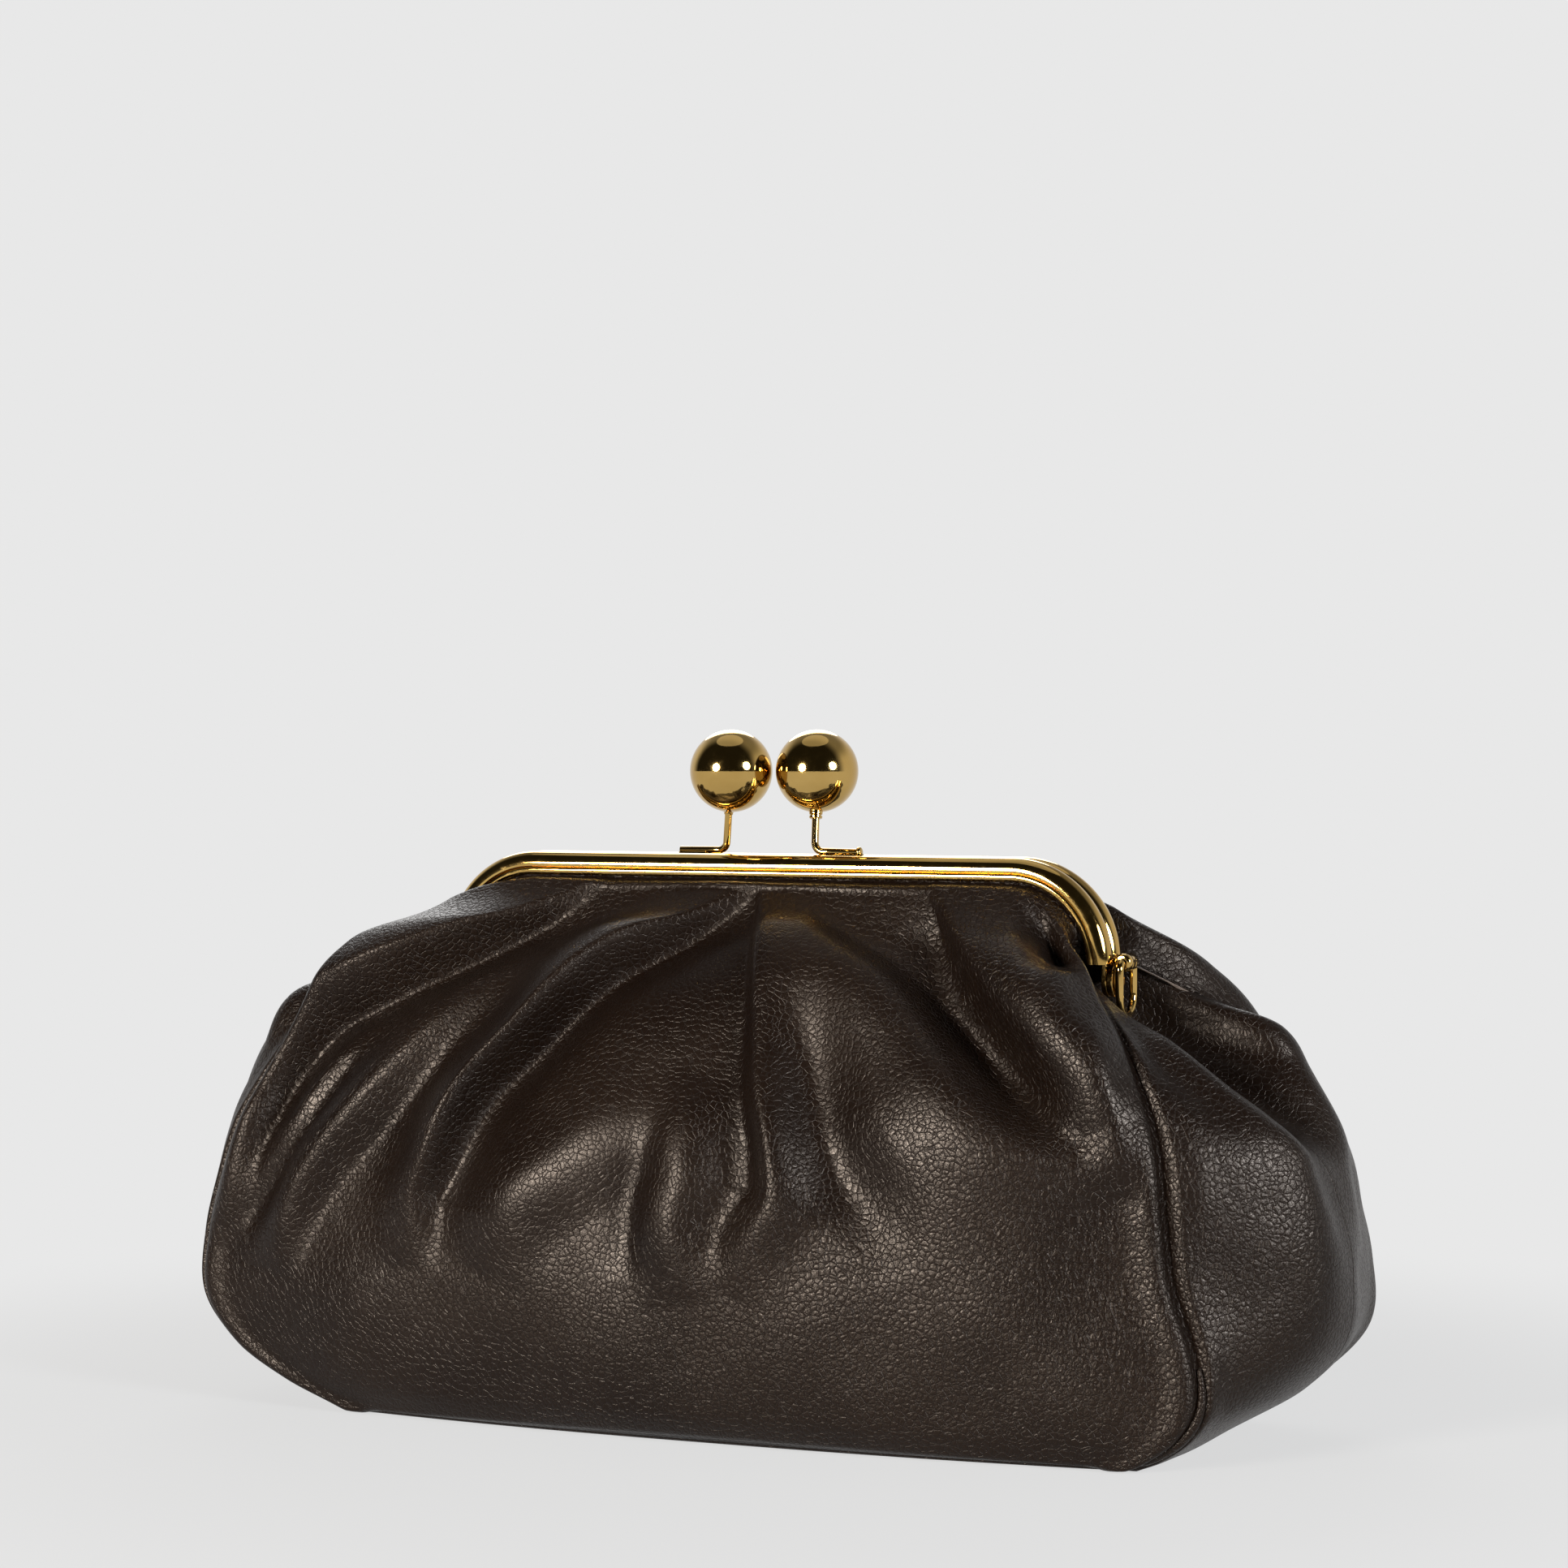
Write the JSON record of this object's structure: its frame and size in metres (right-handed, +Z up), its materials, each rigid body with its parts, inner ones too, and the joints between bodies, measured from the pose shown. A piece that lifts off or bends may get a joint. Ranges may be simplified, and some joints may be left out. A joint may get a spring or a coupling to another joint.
{
  "type": "kiss lock frame purse",
  "caption": "Soft pleated leather clutch hung in a two-part gold frame that opens on end hinges and closes with a crossed ball clasp; strap rings at the ends.",
  "frame": {"origin": "on the floor, under the middle of the closed purse", "axes": "+X along the frame, towards the end with the front half's clasp ball; +Y from the front panel to the back panel; +Z up"},
  "size_m": [0.2864, 0.105, 0.165],
  "materials": {
    "leather": "pebbled dark brown leather with a soft sheen",
    "lining": "plain woven cotton lining",
    "board": "matt bag board",
    "paper_cord": "twisted paper",
    "gold": "polished light gold plating"
  },
  "bodies": {
    "bag": {"gusset": "leather", "front_panel": "leather", "back_panel": "leather", "gusset_lining": "lining", "front_lining": "lining", "back_lining": "lining", "base_board": "board", "right_hinge_rivet": "gold", "left_hinge_rivet": "gold", "right_ring_barrel": "gold", "left_ring_barrel": "gold"},
    "front_half": {"front_frame": "gold", "front_channel_cord": "paper_cord", "front_stem": "gold", "front_stem_pad": "gold", "front_ball_collar": "gold", "front_ball": "gold"},
    "back_half": {"back_frame": "gold", "back_channel_cord": "paper_cord", "back_stem": "gold", "back_stem_pad": "gold", "back_ball_collar": "gold", "back_ball": "gold"},
    "right_strap_ring": {"right_ring": "gold"},
    "left_strap_ring": {"left_ring": "gold"}
  },
  "joints": [
    {"name": "front_half_hinge", "type": "hinge", "parent": "bag", "child": "front_half", "pos_m": [0, 0, 0.1065], "axis": [1, 0, 0], "range_deg": [0, 60], "deforming": ["front_panel", "front_lining", "gusset", "gusset_lining"]},
    {"name": "back_half_hinge", "type": "hinge", "parent": "bag", "child": "back_half", "pos_m": [0, 0, 0.1065], "axis": [-1, 0, 0], "range_deg": [0, 60], "deforming": ["back_panel", "back_lining", "gusset", "gusset_lining"]},
    {"name": "right_ring_swing", "type": "hinge", "parent": "bag", "child": "right_strap_ring", "pos_m": [0.0894, 0, 0.1109], "axis": [0, -1, 0], "range_deg": [0, 170]},
    {"name": "left_ring_swing", "type": "hinge", "parent": "bag", "child": "left_strap_ring", "pos_m": [-0.0894, 0, 0.1109], "axis": [0, 1, 0], "range_deg": [0, 170]}
  ]
}
